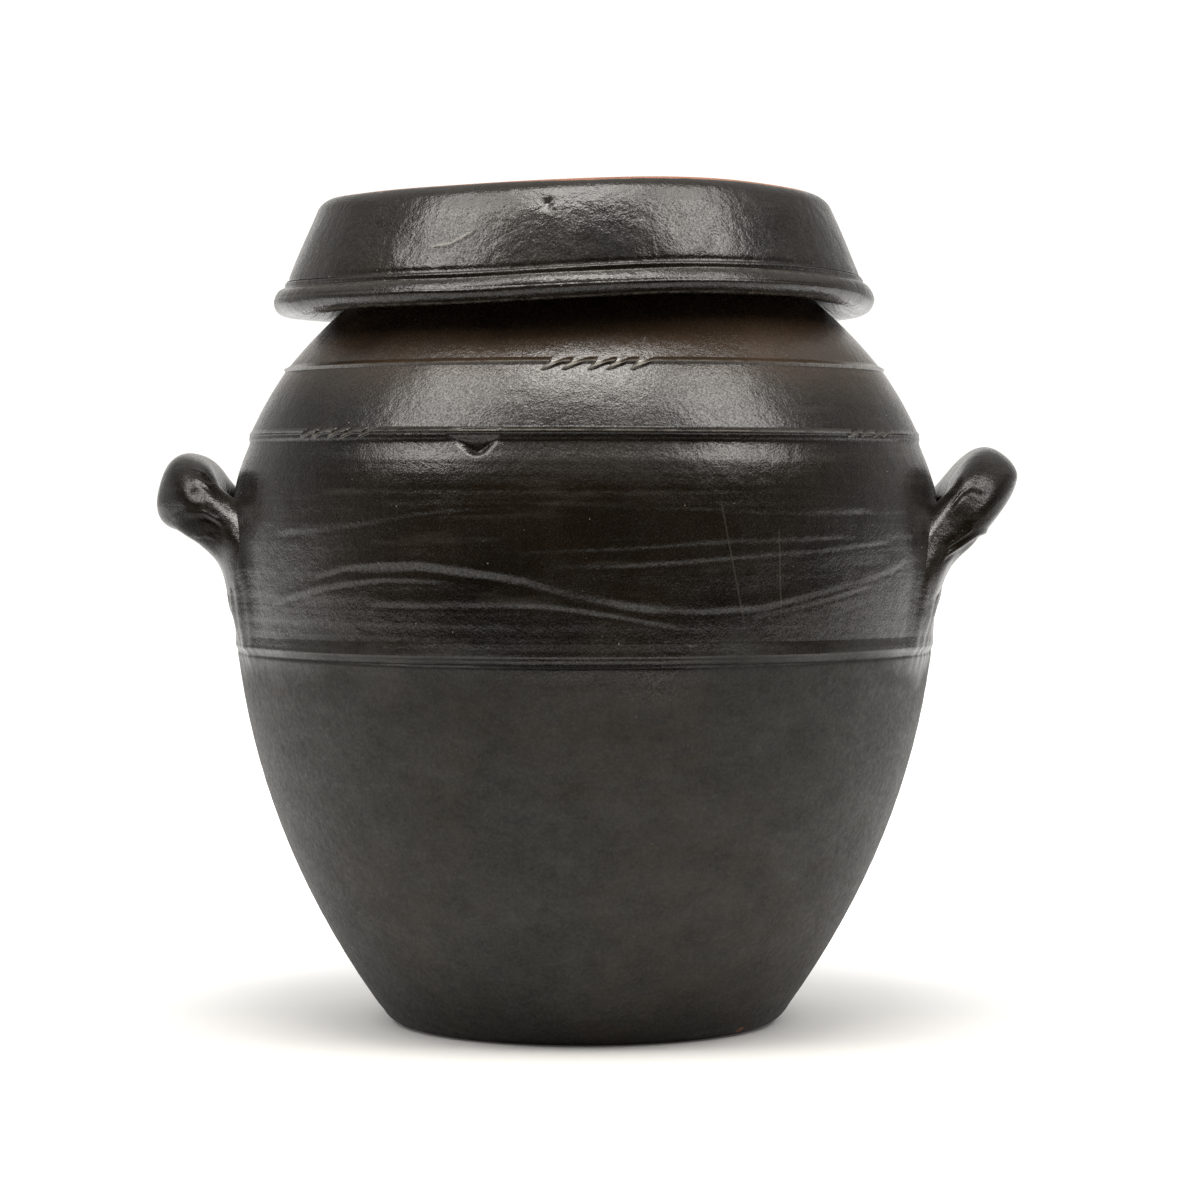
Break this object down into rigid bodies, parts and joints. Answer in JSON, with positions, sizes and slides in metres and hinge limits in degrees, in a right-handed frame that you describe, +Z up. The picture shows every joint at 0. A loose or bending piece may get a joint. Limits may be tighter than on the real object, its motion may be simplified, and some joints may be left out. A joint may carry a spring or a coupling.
{
  "type": "lidded earthenware storage jar",
  "caption": "Dark glazed earthenware storage jar with a bellied body, small lug handles on the shoulder and a loose dish-shaped lid that covers the mouth rim.",
  "frame": {"origin": "centre of the flat underside of the jar, on the ground", "axes": "+Z up along the jar's axis; +X towards the right handle seen from the front, which is -Y"},
  "size_m": [0.2991, 0.2452, 0.2875],
  "materials": {
    "glaze_glossy": "semi-gloss",
    "glaze_matt": "satin",
    "glaze_inside": "satin",
    "bare_clay": "matte"
  },
  "bodies": {
    "jar": {"floor_disc": "bare_clay", "floor_coil": "glaze_inside", "lower_wall": "glaze_matt", "upper_wall": "glaze_glossy", "mouth_rim": "glaze_inside", "neck_band": "glaze_glossy", "shoulder_band": "glaze_glossy", "belly_band": "glaze_glossy", "left_handle": "glaze_glossy", "right_handle": "glaze_glossy"},
    "lid": {"lid_plate": "bare_clay", "lid_wall": "glaze_glossy", "lid_bead": "glaze_glossy"}
  },
  "joints": [
    {"name": "lid_lift", "type": "slide", "parent": "jar", "child": "lid", "axis": [0, 0, 1], "range_m": [0, 0.25]}
  ]
}
